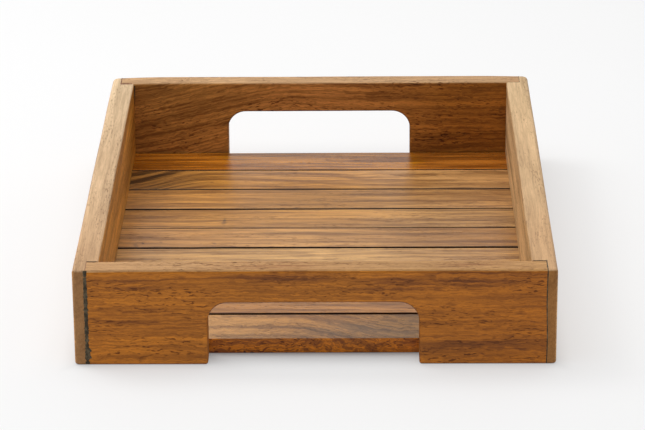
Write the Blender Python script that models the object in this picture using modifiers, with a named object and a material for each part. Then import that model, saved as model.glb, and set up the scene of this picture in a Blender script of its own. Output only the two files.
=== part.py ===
"""Wooden serving tray: two end panels with hand holes, two side boards and a floor of nine slats.

Metres. +X is to the right, +Y runs from the front panel to the back panel, +Z is up. The origin
is on the resting surface, under the middle of the tray.

The side boards run the full depth. A rabbet at each end laps round the end panel, which is glued
and nailed there. A second rabbet, along the bottom, takes the ends of the slats, which are
screwed up into the board from beneath.
"""
import math

import bmesh
import bpy
from mathutils import Matrix, Vector

# Overall size
WIDTH = 0.305
DEPTH = 0.381
HEIGHT = 0.0645

# Stock, joints and clearances
BOARD = 0.0160               # thickness of the side boards and of the end panels
GAP = 0.0003                 # clearance between pieces that touch
OVERSHOOT = 0.0040           # how far a cutter runs past the faces that it cuts
LAP = 0.0061                 # side-board thickness left outside an end panel
LAP_FRONT_LEFT = 0.0080      # this rabbet is cut shallower than the other three
SEAT = 0.0090                # depth of the bottom rabbet under a side board

# Round-overs
EDGE_RADIUS = 0.0015         # top edges, and both bottom edges of an end panel
FOOT_RADIUS = 0.0025         # bottom outer edge of a side board
FRONT_CORNER_RADIUS = 0.0020
BACK_CORNER_RADIUS = 0.0045
SLAT_EDGE_RADIUS = 0.0007
EDGE_SEGMENTS = 3
SLAT_EDGE_SEGMENTS = 2

# Hand hole in each end panel, open at the bottom so that it leaves two feet
HOLE_WIDTH = 0.1334
HOLE_TOP = 0.0429
HOLE_CORNER_RADIUS = 0.0130
HOLE_CORNER_SEGMENTS = 8
HOLE_CENTRE_X = -0.0010

# Floor slats, front to back, with the gaps behind them
FLOOR_TOP = 0.0102
SLAT_BOTTOM = 0.0007
SLAT_WIDTHS = (0.04180, 0.03720, 0.03750, 0.03710, 0.03565, 0.03595, 0.03815, 0.03845, 0.03680)
SLAT_GAPS = (0.0018, 0.0010, 0.0012, 0.0018, 0.0005, 0.0016, 0.0009, 0.0010)

# Countersunk wood screw, one in each slat end
SCREW_LENGTH = 0.0180
SCREW_RADIUS = 0.0015
SCREW_HEAD_RADIUS = 0.0030
SCREW_HEAD_HEIGHT = 0.0022
SCREW_HEAD_RIM = 0.0003
SCREW_POINT = 0.0030
SCREW_SETBACK = 0.0002       # head above the slat's underside

# Finishing nail, two in each corner joint
NAIL_LENGTH = 0.0300
NAIL_RADIUS = 0.0008
NAIL_HEAD_RADIUS = 0.0012
NAIL_HEAD_HEIGHT = 0.0012
NAIL_POINT = 0.0020
NAIL_SETBACK = 0.0004        # head behind the side board's outer face
NAIL_HEIGHTS = {"lower": 0.0150, "upper": 0.0500}

TURN_STEPS = 12
TURN_MERGE = 0.00001

# Planes that several pieces share
INNER_X = WIDTH / 2 - BOARD
INNER_Y = DEPTH / 2 - BOARD
SEAT_X = INNER_X + SEAT
SCREW_X = INNER_X + SEAT / 2

SIDES = {"left": -1, "right": 1}
ENDS = {"front": -1, "back": 1}

# Base colour, roughness, metallic
SIDE_WOOD = ((0.48, 0.27, 0.12), 0.55, 0.0)
PANEL_WOOD = ((0.28, 0.10, 0.022), 0.45, 0.0)
SLAT_WOOD = ((0.42, 0.21, 0.080), 0.45, 0.0)
ZINC_STEEL = ((0.55, 0.55, 0.53), 0.40, 1.0)
BRIGHT_STEEL = ((0.50, 0.50, 0.50), 0.45, 1.0)


def clear_scene():
    for obj in list(bpy.data.objects):
        bpy.data.objects.remove(obj, do_unlink=True)


def new_collection(name):
    collection = bpy.data.collections.new(name)
    bpy.context.scene.collection.children.link(collection)
    return collection


def new_material(name, finish):
    colour, roughness, metallic = finish
    material = bpy.data.materials.new(name)
    material.use_nodes = True
    shader = material.node_tree.nodes["Principled BSDF"]
    shader.inputs["Base Color"].default_value = (*colour, 1.0)
    shader.inputs["Roughness"].default_value = roughness
    shader.inputs["Metallic"].default_value = metallic
    return material


def add_object(name, mesh, collection):
    obj = bpy.data.objects.new(name, mesh)
    collection.objects.link(obj)
    return obj


def as_cutter(obj):
    obj.hide_render = True
    obj.display_type = "WIRE"
    return obj


def no_rounding(along, side):
    return 0.0


def add_box(name, low, high, collection, radius_of=no_rounding, segments=EDGE_SEGMENTS):
    """A box from corner to corner, with its edges rounded by one Bevel.

    radius_of takes an edge's direction, as 0, 1 or 2 for X, Y or Z, and where the edge lies, as a
    vector with -1, 0 or 1 on each axis. It returns that edge's radius.
    """
    low, high = Vector(low), Vector(high)
    shape = bmesh.new()
    weight = shape.edges.layers.float.new("bevel_weight_edge")
    bmesh.ops.create_cube(shape, size=1.0)
    radii = {}
    for edge in shape.edges:
        start, end = (vertex.co for vertex in edge.verts)
        side = start + end
        along = min(range(3), key=lambda axis: abs(side[axis]))
        radii[edge] = radius_of(along, side)
    largest = max(radii.values())
    for edge, radius in radii.items():
        edge[weight] = radius / largest if largest else 0.0
    place = Matrix.Translation((low + high) / 2) @ Matrix.Diagonal((*(high - low), 1.0))
    bmesh.ops.transform(shape, matrix=place, verts=shape.verts)
    mesh = bpy.data.meshes.new(name)
    shape.to_mesh(mesh)
    shape.free()
    obj = add_object(name, mesh, collection)
    if largest:
        bevel = obj.modifiers.new("rounded_edges", "BEVEL")
        bevel.limit_method = "WEIGHT"
        bevel.width = largest
        bevel.segments = segments
    return obj


def profile_mesh(name, points):
    """A profile in the XZ plane, as (radius, height) pairs from top to bottom."""
    mesh = bpy.data.meshes.new(name)
    vertices = [(radius, 0.0, height) for radius, height in points]
    mesh.from_pydata(vertices, [(i, i + 1) for i in range(len(points) - 1)], [])
    return mesh


def add_turned(name, profile, place, collection):
    """A solid turned about its own Z axis."""
    obj = add_object(name, profile, collection)
    obj.matrix_world = place
    turn = obj.modifiers.new("turned", "SCREW")
    turn.steps = TURN_STEPS
    turn.render_steps = TURN_STEPS
    turn.use_merge_vertices = True
    turn.merge_threshold = TURN_MERGE
    return obj


def cut(obj, cutters, pieces):
    """Cut all the pieces out of an object at once. Triangles keep its rounded corners flat-faced."""
    own = bpy.data.collections.new(obj.name + "_cutters")
    cutters.children.link(own)
    for piece in pieces:
        own.objects.link(piece)
    obj.modifiers.new("flat_faces", "TRIANGULATE")
    boolean = obj.modifiers.new("joints_and_holes", "BOOLEAN")
    boolean.operation = "DIFFERENCE"
    boolean.solver = "EXACT"
    boolean.operand_type = "COLLECTION"
    boolean.collection = own


def fastener_profile(length, radius, point, head_radius, head_height, head_rim, clearance):
    """Head at height 0, point up. With a clearance it is the hole, open below the head."""
    mouth = -OVERSHOOT if clearance else 0.0
    return [
        (0.0, length + clearance),
        (radius + clearance, length - point + clearance),
        (radius + clearance, head_height + clearance),
        (head_radius + clearance, head_rim + clearance),
        (head_radius + clearance, mouth),
        (0.0, mouth),
    ]


def screw_profile(clearance):
    return fastener_profile(SCREW_LENGTH, SCREW_RADIUS, SCREW_POINT, SCREW_HEAD_RADIUS,
                            SCREW_HEAD_HEIGHT, SCREW_HEAD_RIM, clearance)


def nail_profile(clearance):
    return fastener_profile(NAIL_LENGTH, NAIL_RADIUS, NAIL_POINT, NAIL_HEAD_RADIUS,
                            NAIL_HEAD_HEIGHT, NAIL_HEAD_HEIGHT, clearance)


def slat_spans():
    """Front and back Y of each slat."""
    spans = []
    front = -INNER_Y + GAP
    for width, gap in zip(SLAT_WIDTHS, (*SLAT_GAPS, GAP)):
        spans.append((front, front + width))
        front += width + gap
    return spans


def lap_at(side_name, end_name):
    return LAP_FRONT_LEFT if (side_name, end_name) == ("left", "front") else LAP


def screw_places():
    """Name, side and slat of each slat screw, with its matrix: head down, point up."""
    places = []
    for number, (front, back) in enumerate(slat_spans(), start=1):
        for side_name, side in SIDES.items():
            head = (side * SCREW_X, (front + back) / 2, SLAT_BOTTOM + SCREW_SETBACK)
            name = f"slat_{number}_screw_{side_name}"
            places.append((name, side_name, number, Matrix.Translation(head)))
    return places


def nail_places():
    """Name, side and end of each corner nail, with its matrix: head outside, point inwards."""
    places = []
    for end_name, end in ENDS.items():
        for side_name, side in SIDES.items():
            inwards = Matrix.Rotation(math.radians(-90 * side), 4, "Y")
            for level, z in NAIL_HEIGHTS.items():
                head = (side * (WIDTH / 2 - NAIL_SETBACK), end * (DEPTH - BOARD) / 2, z)
                name = f"{end_name}_{side_name}_nail_{level}"
                places.append((name, side_name, end_name, Matrix.Translation(head) @ inwards))
    return places


def build_fasteners(tray, cutters):
    """Build the screws and nails, and return the cutters for their holes by the piece they cut."""
    screw = profile_mesh("slat_screw", screw_profile(0.0))
    screw.materials.append(new_material("slat_screw", ZINC_STEEL))
    screw_hole = profile_mesh("slat_screw_hole", screw_profile(GAP))
    nail = profile_mesh("corner_nail", nail_profile(0.0))
    nail.materials.append(new_material("corner_nail", BRIGHT_STEEL))
    nail_hole = profile_mesh("corner_nail_hole", nail_profile(GAP))
    holes = {}
    for name, side_name, number, place in screw_places():
        add_turned(name, screw, place, tray)
        hole = as_cutter(add_turned(name + "_hole", screw_hole, place, cutters))
        holes.setdefault(side_name + "_side_board", []).append(hole)
        holes.setdefault(f"floor_slat_{number}", []).append(hole)
    for name, side_name, end_name, place in nail_places():
        add_turned(name, nail, place, tray)
        hole = as_cutter(add_turned(name + "_hole", nail_hole, place, cutters))
        holes.setdefault(side_name + "_side_board", []).append(hole)
        holes.setdefault(end_name + "_panel", []).append(hole)
    return holes


def build_side_board(side_name, tray, cutters, holes):
    side = SIDES[side_name]
    name = side_name + "_side_board"

    def radius_of(along, where):
        if along == 2:
            outer = where.x == side
            corner = BACK_CORNER_RADIUS if where.y > 0 else FRONT_CORNER_RADIUS
            return corner if outer else 0.0
        if along == 1 and where.z < 0:
            return FOOT_RADIUS if where.x == side else 0.0
        return EDGE_RADIUS

    inner, outer = sorted((side * INNER_X, side * WIDTH / 2))
    board = add_box(name, (inner, -DEPTH / 2, 0.0), (outer, DEPTH / 2, HEIGHT), tray, radius_of)
    board.data.materials.append(new_material(name, SIDE_WOOD))
    past = side * (INNER_X - OVERSHOOT)

    def rabbet(label, to_x, y_low, y_high, z_high):
        low, high = sorted((past, to_x))
        cutter = add_box(f"{name}_{label}", (low, y_low, -OVERSHOOT), (high, y_high, z_high), cutters)
        return as_cutter(cutter)

    rabbets = []
    for end_name, end in ENDS.items():
        to_x = side * (WIDTH / 2 - lap_at(side_name, end_name))
        y_low, y_high = sorted((end * (INNER_Y - GAP), end * (DEPTH / 2 + OVERSHOOT)))
        rabbets.append(rabbet(end_name + "_rabbet", to_x, y_low, y_high, HEIGHT + OVERSHOOT))
    rabbets.append(rabbet("slat_rabbet", side * SEAT_X, -INNER_Y, INNER_Y, FLOOR_TOP + GAP))
    cut(board, cutters, rabbets + holes[name])


def build_end_panel(end_name, tray, cutters, holes):
    end = ENDS[end_name]
    name = end_name + "_panel"

    def radius_of(along, where):
        return EDGE_RADIUS if along == 0 else 0.0

    def hole_radius_of(along, where):
        return HOLE_CORNER_RADIUS if along == 1 and where.z > 0 else 0.0

    left = -WIDTH / 2 + lap_at("left", end_name) + GAP
    right = WIDTH / 2 - lap_at("right", end_name) - GAP
    y_low, y_high = sorted((end * INNER_Y, end * DEPTH / 2))
    panel = add_box(name, (left, y_low, 0.0), (right, y_high, HEIGHT), tray, radius_of)
    panel.data.materials.append(new_material(name, PANEL_WOOD))
    hole_low = (HOLE_CENTRE_X - HOLE_WIDTH / 2, y_low - OVERSHOOT, -OVERSHOOT)
    hole_high = (HOLE_CENTRE_X + HOLE_WIDTH / 2, y_high + OVERSHOOT, HOLE_TOP)
    hand_hole = add_box(name + "_hand_hole", hole_low, hole_high, cutters,
                        hole_radius_of, HOLE_CORNER_SEGMENTS)
    cut(panel, cutters, [as_cutter(hand_hole)] + holes[name])


def build_slats(tray, cutters, holes):
    def radius_of(along, where):
        return SLAT_EDGE_RADIUS if along == 0 else 0.0

    reach = SEAT_X - GAP
    for number, (front, back) in enumerate(slat_spans(), start=1):
        name = f"floor_slat_{number}"
        slat = add_box(name, (-reach, front, SLAT_BOTTOM), (reach, back, FLOOR_TOP), tray,
                       radius_of, SLAT_EDGE_SEGMENTS)
        slat.data.materials.append(new_material(name, SLAT_WOOD))
        cut(slat, cutters, holes[name])


def build_tray():
    clear_scene()
    tray = new_collection("serving_tray")
    cutters = new_collection("cutters")
    holes = build_fasteners(tray, cutters)
    for side_name in SIDES:
        build_side_board(side_name, tray, cutters, holes)
    for end_name in ENDS:
        build_end_panel(end_name, tray, cutters, holes)
    build_slats(tray, cutters, holes)


build_tray()
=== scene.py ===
"""Looks of the wooden serving tray: oiled hardwood boards, slats, glue, screws and nails.

Metres, in the model's own frame: +X to the right, +Y from the front panel to the back panel.
"""

import math

import bmesh
import bpy
from mathutils import Matrix, Vector, noise


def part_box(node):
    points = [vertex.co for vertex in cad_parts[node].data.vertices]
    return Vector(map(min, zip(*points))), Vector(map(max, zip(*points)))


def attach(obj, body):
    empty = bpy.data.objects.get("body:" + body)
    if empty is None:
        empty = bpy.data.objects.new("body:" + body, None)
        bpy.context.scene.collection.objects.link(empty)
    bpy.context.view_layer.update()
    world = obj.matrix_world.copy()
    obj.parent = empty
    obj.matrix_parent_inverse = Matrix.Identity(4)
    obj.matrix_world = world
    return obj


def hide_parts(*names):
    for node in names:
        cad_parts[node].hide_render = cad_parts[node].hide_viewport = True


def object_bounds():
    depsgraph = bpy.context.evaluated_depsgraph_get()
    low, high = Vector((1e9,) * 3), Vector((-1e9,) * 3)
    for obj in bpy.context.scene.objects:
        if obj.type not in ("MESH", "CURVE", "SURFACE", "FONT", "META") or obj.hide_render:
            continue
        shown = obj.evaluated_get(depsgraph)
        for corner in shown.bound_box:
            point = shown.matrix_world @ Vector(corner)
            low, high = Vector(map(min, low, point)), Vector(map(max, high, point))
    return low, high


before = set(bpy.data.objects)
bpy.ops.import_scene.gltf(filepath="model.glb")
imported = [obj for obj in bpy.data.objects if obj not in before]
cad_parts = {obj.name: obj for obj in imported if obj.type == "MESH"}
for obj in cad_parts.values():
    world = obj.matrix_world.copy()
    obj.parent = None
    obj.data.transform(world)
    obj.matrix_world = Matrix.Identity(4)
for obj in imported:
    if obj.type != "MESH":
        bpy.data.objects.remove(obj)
CAD_LOW, CAD_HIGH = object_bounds()

# ------------------------------------------------------------------ sizes and places

SIDES = {"left": -1, "right": 1}
ENDS = {"front": -1, "back": 1}
SLATS = range(1, 10)
PANEL = {end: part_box(end + "_panel") for end in ENDS}
BOARD = {side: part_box(side + "_side_board") for side in SIDES}
SLAT = {n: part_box(f"floor_slat_{n}") for n in SLATS}
SCREWS = [f"slat_{n}_screw_{side}" for n in SLATS for side in SIDES]
NAILS = [f"{end}_{side}_nail_{level}" for end in ENDS for side in SIDES
         for level in ("lower", "upper")]

OUTER_X, OUTER_Y, HEIGHT = CAD_HIGH
INNER_X = BOARD["right"][0].x
INNER_Y = PANEL["back"][0].y
FLOOR_TOP = SLAT[1][1].z

FIT = 0.0001                 # gap between finished pieces
TINY = 1e-6                  # lengths under this count as nothing
EDGE_ROUND = 0.0015          # sanded edges of the boards
OUTER_ROUND = 0.0024         # outer top edges, which are sanded most
FRONT_CORNER = 0.0030        # upright outer corners
BACK_CORNER = 0.0045
FOOT_CORNER = 0.0018         # where the hand hole runs out at the bottom
HOLE_CORNER = 0.0130
HOLE_LEFT, HOLE_RIGHT = -0.0677, 0.0657   # the hand holes lie 1 mm left of the middle
HOLE_TOP = 0.0422
SEAT_DEPTH = 0.0090          # rabbet under a side board for the ends of the slats
CELL = 0.008                 # spacing of the cuts that let a board bend
SHARP = math.radians(38)     # edges sharper than this stay crisp

PLANING = (11.0, 0.00030)    # unevenness left by planing: waves per metre, and their reach
SANDING = (38.0, 0.00008)    # and by sanding
SANDING_START = Vector((5.0, 3.0, 1.0))
STIFF_HEIGHT = 0.020         # height above the floor over which a board starts to bend up or down
CORNER_DIP = {("left", "front"): 0.0003, ("right", "front"): 0.0003,
              ("left", "back"): 0.0009, ("right", "back"): 0.0005}
CORNER_REACH = 0.022
DIP_POWER = 6                # how closely the dip keeps to the top


# ------------------------------------------------------------------ node trees

class Graph:
    """A node tree with short ways to add nodes. A value is a socket or a constant."""

    def __init__(self, tree):
        self.tree = tree

    def put(self, socket, value):
        if isinstance(value, bpy.types.NodeSocket):
            self.tree.links.new(value, socket)
        else:
            socket.default_value = value

    def add(self, kind, inputs=None, **settings):
        node = self.tree.nodes.new(kind)
        for name, value in settings.items():
            setattr(node, name, value)
        for key, value in (inputs or {}).items():
            if value is not None:
                self.put(node.inputs[key], value)
        return node

    def math(self, operation, a, b=None, clamp=False):
        node = self.add("ShaderNodeMath", {0: a, 1: b}, operation=operation, use_clamp=clamp)
        return node.outputs[0]

    def times(self, a, b):
        return self.math("MULTIPLY", a, b)

    def plus(self, a, b):
        return self.math("ADD", a, b)

    def minus(self, a, b):
        return self.math("SUBTRACT", a, b)

    def vector(self, operation, a, b=None, scale=None):
        node = self.add("ShaderNodeVectorMath", {0: a, 1: b, "Scale": scale}, operation=operation)
        return node.outputs[1 if operation == "LENGTH" else 0]

    def combine(self, x, y, z):
        return self.add("ShaderNodeCombineXYZ", {0: x, 1: y, 2: z}).outputs[0]

    def separate(self, vector):
        return self.add("ShaderNodeSeparateXYZ", {0: vector}).outputs

    def ramp(self, value, low, high, to_low=0.0, to_high=1.0, smooth=True):
        """The value's place between low and high, as a number from to_low to to_high."""
        kind = "SMOOTHSTEP" if smooth else "LINEAR"
        ends = {0: value, 1: low, 2: high, 3: to_low, 4: to_high}
        return self.add("ShaderNodeMapRange", ends, interpolation_type=kind).outputs[0]

    def noise(self, vector, scale, detail=2.0, roughness=0.5, colour=False):
        """Noise with its own frequency, per metre, along each axis."""
        place = self.vector("MULTIPLY", vector, scale)
        inputs = {"Vector": place, "Scale": 1.0, "Detail": detail, "Roughness": roughness}
        return self.add("ShaderNodeTexNoise", inputs).outputs[1 if colour else 0]

    def wander(self, vector, scale, reach, detail=2.0):
        """The vector, moved about by at most half of reach."""
        move = self.noise(vector, scale, detail, colour=True)
        move = self.vector("SUBTRACT", move, (0.5, 0.5, 0.5))
        return self.vector("ADD", vector, self.vector("SCALE", move, scale=reach))

    def mix(self, factor, a, b, blend="MIX"):
        node = self.add("ShaderNodeMix", data_type="RGBA", blend_type=blend)
        for index, value in ((0, factor), (6, a), (7, b)):
            self.put(node.inputs[index], value)
        return node.outputs[2]

    def blend(self, value, stops):
        """A colour read from stops, given as (place, colour) pairs with places from 0 to 1."""
        node = self.add("ShaderNodeValToRGB", {0: value})
        band = node.color_ramp
        band.interpolation = "EASE"
        while len(band.elements) < len(stops):
            band.elements.new(0.5)
        for element, (place, colour) in zip(band.elements, stops):
            element.position = place
            element.color = (*colour, 1.0)
        return node.outputs[0]


def add_inputs(tree, inputs):
    """Give a tree named inputs. Each is its name, its kind and its value, or None for no value."""
    for name, kind, value in inputs:
        socket = tree.interface.new_socket(name=name, in_out="INPUT", socket_type="NodeSocket" + kind)
        if value is not None:
            socket.default_value = value


def new_material(name):
    material = bpy.data.materials.new(name)
    material.use_nodes = True
    return material, Graph(material.node_tree), material.node_tree.nodes["Principled BSDF"]


# ------------------------------------------------------------------ wood

WOOD_INPUTS = (
    ("Log Place", "Vector", None),     # from the middle of the log, X along the grain
    ("Colour", "Color", None),
    ("End Grain", "Float", 0.0),       # 1 where the surface is cut across the grain
    ("Sanded And Lit", "Float", 0.0),          # 1 on faces that point up, painted paler: painted light and sheen from above, with sanding
    ("Sanded Colour", "Color", None),
    ("Heart", "Float", 0.0),           # 1 where dark heartwood shows
    ("Heart Colour", "Color", None),
    ("Ring Width", "Float", 0.004),
    ("Rings", "Float", 0.5),           # how dark the growth rings are
    ("Streaks", "Float", 0.4),
    ("Streak Count", "Float", 420.0),  # streaks per metre, across the grain
    ("Bands", "Float", 0.25),          # broad changes of tone
    ("Wave", "Float", 0.008),          # how far the grain wanders
    ("Curl", "Float", 0.0005),         # short ripples in the grain
    ("Pores", "Float", 0.6),
)
PALE_PART = (1.42, 1.39, 1.36, 1.0)          # the wood's parts, against its mean colour
DARK_PART = (0.48, 0.40, 0.31, 1.0)
PORE_PART = (0.30, 0.23, 0.18, 1.0)
END_PART = (0.62, 0.60, 0.60, 1.0)
UNDER_SHADE_PART = (0.20, 0.15, 0.11, 1.0)         # painted shade on the faces that point down


def hardwood_group():
    """Solid wood: growth rings round the log's middle, with streaks, fibres and pores along it."""
    tree = bpy.data.node_groups.new("oiled_hardwood", "ShaderNodeTree")
    add_inputs(tree, WOOD_INPUTS)
    for name, kind in (("Color", "Color"), ("Roughness", "Float"), ("Height", "Float")):
        tree.interface.new_socket(name=name, in_out="OUTPUT", socket_type="NodeSocket" + kind)
    g = Graph(tree)
    given = g.add("NodeGroupInput").outputs

    # Grain that wanders slowly, and ripples where the wood is curly
    log = g.wander(given["Log Place"], (6.0, 22.0, 22.0), given["Wave"])
    log = g.wander(log, (130.0, 140.0, 140.0), given["Curl"])

    # Growth rings, each running from pale wood to a narrow dark line
    x, y, z = g.separate(log)
    radius = g.math("SQRT", g.plus(g.times(y, y), g.times(z, z)))
    uneven = g.times(g.noise(log, (2.0, 45.0, 45.0)), 1.6)
    part = g.math("FRACT", g.plus(g.math("DIVIDE", radius, given["Ring Width"]), uneven))
    ring = g.times(g.ramp(part, 0.25, 0.90), g.ramp(part, 0.92, 1.0, 1.0, 0.0))

    # Streaks, fibres and slow changes of tone
    count = given["Streak Count"]
    streak = g.noise(log, g.combine(9.0, count, count), 3.0, 0.65)
    fibre = g.noise(log, (40.0, 1100.0, 1100.0), 2.0, 0.6)
    broad = g.noise(log, (6.0, 60.0, 60.0), 3.0, 0.55)

    # Pores: short dark dashes along the grain, in loose groups
    groups = g.ramp(g.noise(log, (16.0, 90.0, 90.0)), 0.42, 0.62, 0.20, 1.0)
    dashes = g.ramp(g.noise(log, (190.0, 1100.0, 1100.0), 1.0), 0.57, 0.66)
    specks = g.ramp(g.noise(log, (420.0, 2600.0, 2600.0), 1.0), 0.62, 0.74)
    specks = g.times(specks, 0.4)
    pores = g.math("ADD", g.times(dashes, groups), specks, clamp=True)
    pores = g.times(pores, given["Pores"])
    pores = g.times(pores, g.ramp(given["End Grain"], 0.0, 1.0, 1.0, 0.3))

    # How dark the wood is, from 0 to 1
    dark = g.times(ring, given["Rings"])
    dark = g.plus(dark, g.times(g.ramp(streak, 0.38, 0.62), given["Streaks"]))
    dark = g.plus(dark, g.times(g.ramp(fibre, 0.36, 0.64), 0.32))
    dark = g.plus(dark, g.times(g.ramp(broad, 0.34, 0.66), given["Bands"]))
    dark = g.math("SUBTRACT", dark, 0.05, clamp=True)

    # Faces that point up turn paler, unevenly: painted light and sheen from above, together with sanding
    uneven = g.times(g.minus(broad, 0.5), 0.5)
    sanded_and_lit = g.ramp(g.plus(given["Sanded And Lit"], uneven), 0.25, 0.75)
    sanded_and_lit = g.times(sanded_and_lit, g.ramp(given["Sanded And Lit"], 0.0, 0.15))
    shade = g.times(dark, g.ramp(sanded_and_lit, 0.0, 1.0, 1.0, 0.62))
    shade = g.times(shade, g.ramp(given["End Grain"], 0.0, 1.0, 1.0, 0.6))
    colour = g.mix(sanded_and_lit, given["Colour"], given["Sanded Colour"])
    heart = g.times(given["Heart"], g.ramp(streak, 0.36, 0.60, 0.20, 1.0))
    colour = g.mix(heart, colour, given["Heart Colour"])
    colour = g.mix(1.0, colour, g.mix(shade, PALE_PART, DARK_PART), "MULTIPLY")
    colour = g.mix(pores, colour, g.mix(1.0, colour, PORE_PART, "MULTIPLY"))
    colour = g.mix(given["End Grain"], colour, g.mix(1.0, colour, END_PART, "MULTIPLY"))

    rough = g.plus(g.times(dark, 0.08), g.times(pores, 0.25))
    rough = g.plus(rough, g.times(given["End Grain"], 0.25))
    rough = g.plus(rough, g.times(sanded_and_lit, 0.14))
    rough = g.plus(rough, g.times(fibre, 0.10))
    height = g.minus(g.times(fibre, 0.22), pores)
    height = g.plus(height, g.times(streak, 0.25))

    out = g.add("NodeGroupOutput")
    for key, value in (("Color", colour), ("Roughness", rough), ("Height", height)):
        g.put(out.inputs[key], value)
    return tree


HARDWOOD = hardwood_group()
GRAIN_TURN = {0: 0.0, 1: -math.pi / 2}       # lays the grain's own axis along X


def wood_material(name, along, log, colours, sanded_and_lit=None, sides=None, heart=(), heart_colour=None,
                  outside=None, ends=None, sweep=None, side_streaks=None, gloss=0.30, shine=0.5,
                  **figure):
    """Oiled hardwood. along is the axis that the grain follows, 0 for X and 1 for Y, and log is
    where the board's origin lies in its log. colours are (place along the board, colour) pairs,
    sanded_and_lit the same for the faces that point up, and sides is the colour of the long edges,
    with side_streaks as their streaks. The faces that point up are painted paler: painted light and
    sheen from above, together with sanding. outside is the colour of the faces round the tray, and
    ends of the end grain. heart lists dark patches as (centre, reach, strength). sweep is (start,
    stop, rise): from start to stop along X, the grain moves by rise in Y and Z."""
    material, g, shader = new_material(name)
    place = g.add("ShaderNodeTexCoord").outputs["Object"]
    turned = g.add("ShaderNodeMapping", {"Vector": place, "Rotation": (0.0, 0.0, GRAIN_TURN[along])})
    grain = g.vector("ADD", turned.outputs[0], log)
    if sweep:
        start, stop, rise = sweep
        shift = g.ramp(g.separate(place)[0], start, stop, 0.0, -1.0)
        grain = g.vector("ADD", grain, g.vector("SCALE", (0.0, *rise), scale=shift))
    normal = g.separate(g.add("ShaderNodeNewGeometry").outputs["Normal"])
    end_grain = g.ramp(g.math("ABSOLUTE", normal[along]), 0.50, 0.85)

    wood = g.add("ShaderNodeGroup", node_tree=HARDWOOD)
    g.put(wood.inputs["Log Place"], grain)
    g.put(wood.inputs["End Grain"], end_grain)
    colour = colour_along(g, turned.outputs[0], colours)
    if sides:
        # On most slats sides is near black: painted shade in the gaps between the slats
        edge = g.ramp(g.math("ABSOLUTE", normal[1 - along]), 0.25, 0.70)
        colour = g.mix(edge, colour, (*sides, 1.0))
    if outside:
        across = g.math("ABSOLUTE", g.separate(place)[1 - along])
        inner = INNER_X if along else INNER_Y
        beyond = g.ramp(across, inner + 0.004, inner + 0.012)
        colour = g.mix(beyond, colour, (*outside, 1.0))
    if ends:
        colour = g.mix(end_grain, colour, (*ends, 1.0))
    # Faces that point down are painted darker: painted shade under the boards, the slats and the grip bar
    under = g.ramp(normal[2], -0.70, -0.15, 1.0, 0.0)
    colour = g.mix(under, colour, g.mix(1.0, colour, UNDER_SHADE_PART, "MULTIPLY"))
    g.put(wood.inputs["Colour"], colour)
    # Faces that point up are painted paler: painted light and sheen from above, together with sanding
    if sanded_and_lit:
        g.put(wood.inputs["Sanded And Lit"], g.ramp(normal[2], 0.30, 0.90))
        g.put(wood.inputs["Sanded Colour"], colour_along(g, turned.outputs[0], sanded_and_lit))
    if heart:
        g.put(wood.inputs["Heart"], heart_patches(g, place, heart))
        g.put(wood.inputs["Heart Colour"], (*heart_colour, 1.0))
    for key, value in figure.items():
        g.put(wood.inputs[key.replace("_", " ").title()], value)
    if side_streaks:
        g.put(wood.inputs["Streaks"], g.ramp(edge, 0.0, 1.0, figure["streaks"], side_streaks))
        g.put(wood.inputs["Pores"], g.ramp(edge, 0.0, 1.0, figure["pores"], 1.0))
    bump = g.add("ShaderNodeBump", {"Strength": 0.5, "Distance": 0.0002,
                                    "Height": wood.outputs["Height"]})
    g.put(shader.inputs["Base Color"], wood.outputs["Color"])
    g.put(shader.inputs["Roughness"], g.plus(wood.outputs["Roughness"], gloss))
    g.put(shader.inputs["Normal"], bump.outputs[0])
    shader.inputs["Specular IOR Level"].default_value = shine
    return material


def colour_along(g, place, colours):
    """One colour, or a colour that changes along the board between (place, colour) pairs."""
    if len(colours) == 1:
        return (*colours[0][1], 1.0)
    first, last = colours[0][0], colours[-1][0]
    strayed = g.wander(place, (14.0, 60.0, 60.0), 0.05)
    at = g.ramp(g.separate(strayed)[0], first, last, smooth=False)
    return g.blend(at, [((x - first) / (last - first), colour) for x, colour in colours])


def heart_patches(g, place, patches):
    total = 0.0
    for centre, reach, strength in patches:
        strayed = g.wander(place, (20.0, 90.0, 90.0), 0.008)
        away = g.vector("SUBTRACT", strayed, centre)
        away = g.vector("MULTIPLY", away, tuple(1 / size for size in reach))
        near = g.ramp(g.vector("LENGTH", away), 0.2, 1.0, strength, 0.0)
        total = g.math("MAXIMUM", total, near)
    return total


def glue_material(name, colour, thin_colour, roughness):
    """Wood glue squeezed out of a joint: dull, with dust in its hollows."""
    material, g, shader = new_material(name)
    place = g.add("ShaderNodeTexCoord").outputs["Object"]
    patches = g.noise(place, (220.0, 220.0, 220.0), 3.0, 0.6)
    lumps = g.noise(place, (900.0, 900.0, 900.0), 3.0, 0.6)
    bump = g.add("ShaderNodeBump", {"Strength": 0.6, "Distance": 0.0002, "Height": lumps})
    g.put(shader.inputs["Base Color"],
          g.mix(g.ramp(patches, 0.40, 0.66), (*colour, 1.0), (*thin_colour, 1.0)))
    g.put(shader.inputs["Roughness"], g.ramp(lumps, 0.3, 0.7, roughness, roughness + 0.2))
    g.put(shader.inputs["Normal"], bump.outputs[0])
    shader.inputs["Specular IOR Level"].default_value = 0.15
    return material


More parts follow.
